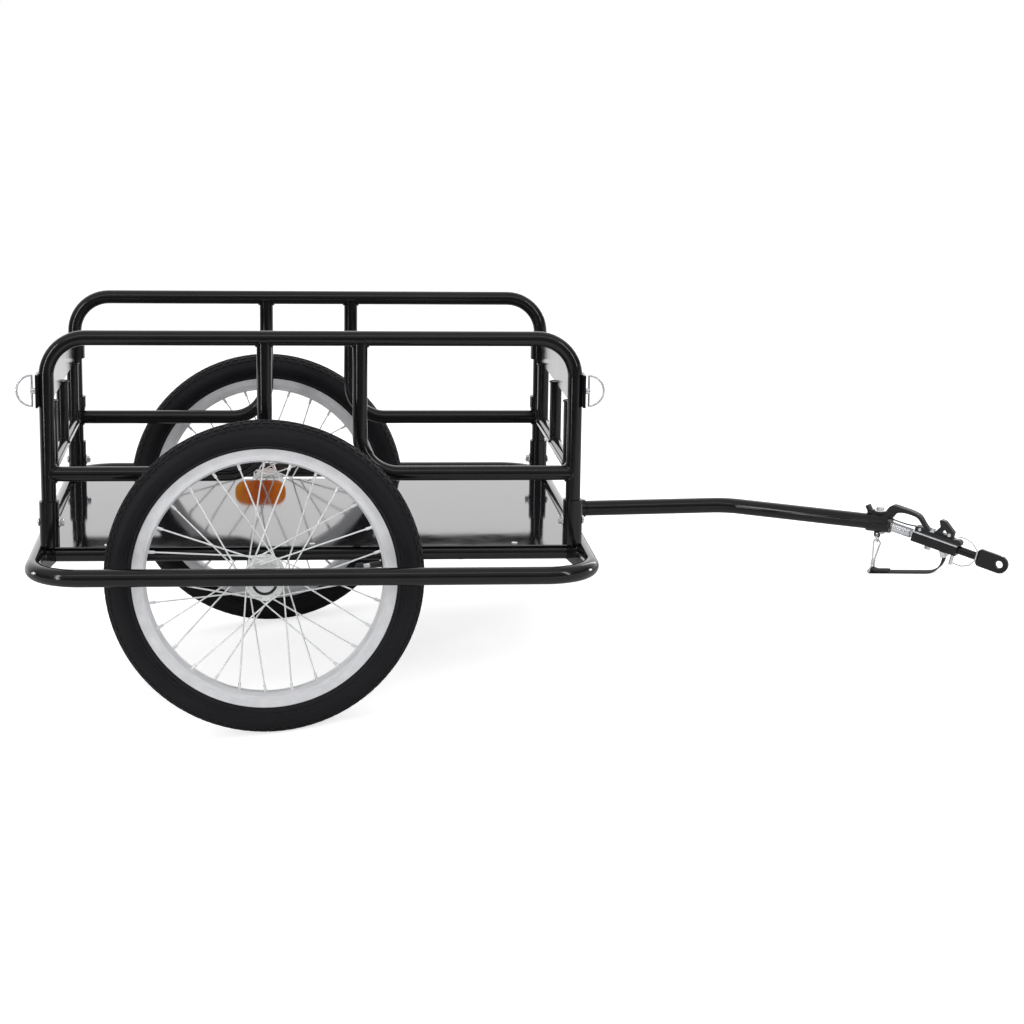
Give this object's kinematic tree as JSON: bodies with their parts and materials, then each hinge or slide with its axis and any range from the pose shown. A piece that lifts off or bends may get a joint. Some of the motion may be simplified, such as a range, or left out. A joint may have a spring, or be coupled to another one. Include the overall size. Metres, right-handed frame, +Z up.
{
  "type": "bicycle cargo trailer",
  "caption": "Two-wheel bicycle cargo trailer: open tube-frame bed with swinging end gates, spoked wheels, bumper loop, bent towbar and sprung axle hitch.",
  "frame": {"origin": "on the ground, under the middle of the parked trailer", "axes": "+X forward to the hitch, +Y to the left side, +Z up; the bed leans nose-down as it parks on its hitch eye"},
  "size_m": [1.301, 0.73, 0.5297],
  "materials": {
    "amber_plastic": "clear prismatic",
    "black_plastic": "satin",
    "bright_zinc": "bright",
    "floor_paint": "high gloss",
    "gloss_paint": "gloss",
    "hub_chrome": "bright",
    "rim_aluminium": "satin",
    "strap_rubber": "satin",
    "tyre_rubber": "matt tread",
    "webbing": "woven"
  },
  "bodies": {
    "chassis": {"axle_beam": "gloss_paint", "brace_front_left": "gloss_paint", "brace_front_right": "gloss_paint", "brace_rear_left": "gloss_paint", "brace_rear_right": "gloss_paint", "bumper_bend_front_left": "gloss_paint", "bumper_bend_front_right": "gloss_paint", "bumper_bend_rear_left": "gloss_paint", "bumper_bend_rear_right": "gloss_paint", "bumper_front": "gloss_paint", "bumper_left": "gloss_paint", "bumper_rear": "gloss_paint", "bumper_right": "gloss_paint", "cross_tube_front": "gloss_paint", "cross_tube_rear": "gloss_paint", "floor_sheet": "floor_paint", "gusset_front_left": "gloss_paint", "gusset_front_right": "gloss_paint", "gusset_rear_left": "gloss_paint", "gusset_rear_right": "gloss_paint", "hitch_band": "strap_rubber", "hitch_spring": "bright_zinc", "hoop_left": "gloss_paint", "hoop_right": "gloss_paint", "rail_left": "gloss_paint", "rail_right": "gloss_paint", "safety_strap": "webbing", "socket_front_left": "gloss_paint", "socket_front_right": "gloss_paint", "socket_rear_left": "gloss_paint", "socket_rear_right": "gloss_paint", "strap_hook": "bright_zinc", "stub_axle_left": "bright_zinc", "stub_axle_right": "bright_zinc", "towbar": "gloss_paint", "towbar_clamp": "gloss_paint", "towbar_receiver": "gloss_paint"},
    "wheel_left": {"hub_left": "hub_chrome", "rim_left": "rim_aluminium", "spoke_reflector": "amber_plastic", "spokes_left": "bright_zinc", "tyre_left": "tyre_rubber"},
    "wheel_right": {"hub_right": "hub_chrome", "rim_right": "rim_aluminium", "spokes_right": "bright_zinc", "tyre_right": "tyre_rubber"},
    "front_gate": {"gate_front_frame": "gloss_paint", "gate_front_ring": "bright_zinc", "gate_front_top_bar": "gloss_paint"},
    "rear_gate": {"gate_rear_frame": "gloss_paint", "gate_rear_ring": "bright_zinc", "gate_rear_top_bar": "gloss_paint"},
    "hitch": {"hitch_cover": "bright_zinc", "hitch_housing": "gloss_paint", "hitch_latch": "black_plastic", "hitch_lever": "black_plastic", "hitch_lock_pin": "bright_zinc", "hitch_plate": "gloss_paint", "hitch_tongue": "gloss_paint", "strap_anchor": "bright_zinc"}
  },
  "joints": [
    {"name": "wheel_left_spin", "type": "hinge", "parent": "chassis", "child": "wheel_left", "pos_m": [-0.35943, 0.29, 0.2], "axis": [0, 1, 0], "continuous": true},
    {"name": "wheel_right_spin", "type": "hinge", "parent": "chassis", "child": "wheel_right", "pos_m": [-0.35943, -0.29, 0.2], "axis": [0, 1, 0], "continuous": true},
    {"name": "front_gate_swing", "type": "hinge", "parent": "chassis", "child": "front_gate", "pos_m": [0.04938, 0.218, 0.27349], "axis": [0.14, 0, 0.9902], "range_deg": [0, 170]},
    {"name": "rear_gate_swing", "type": "hinge", "parent": "chassis", "child": "rear_gate", "pos_m": [-0.61006, 0.218, 0.36673], "axis": [0.14, 0, 0.9902], "range_deg": [-170, 0]},
    {"name": "hitch_swing", "type": "hinge", "parent": "chassis", "child": "hitch", "pos_m": [0.52438, 0.03115, 0.06234], "axis": [0, 0, 1], "range_deg": [-40, 40], "stiffness_Nm_per_rad": 12, "deforming": ["hitch_spring", "hitch_band", "safety_strap"]}
  ]
}
